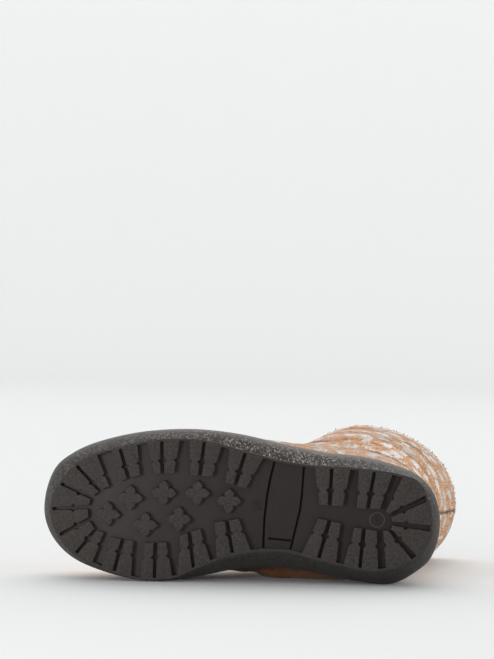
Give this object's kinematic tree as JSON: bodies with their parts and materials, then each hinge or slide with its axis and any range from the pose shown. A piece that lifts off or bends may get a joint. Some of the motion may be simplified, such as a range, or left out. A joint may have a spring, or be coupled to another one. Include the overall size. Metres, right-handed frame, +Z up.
{
  "type": "mukluk boot",
  "caption": "Left mukluk boot lying on its inner side, with a lugged rubber unit sole, a slack hollow shaft of short haired hide and an insole.",
  "frame": {"origin": "middle of the bounding box's base, on the surface that the boot lies on", "axes": "+Z up, +X from the toe to the heel, +Y from the sole to the collar; the sole faces -Y and the lateral side is up"},
  "size_m": [0.3032, 0.2502, 0.1051],
  "materials": {
    "outsole": "matte moulded rubber with a pebbled side",
    "upper": "short haired spotted hide, tan with pale spots",
    "insole": "felted pile"
  },
  "bodies": {
    "root": {"outsole": "outsole", "upper": "upper", "insole": "insole"}
  },
  "joints": []
}
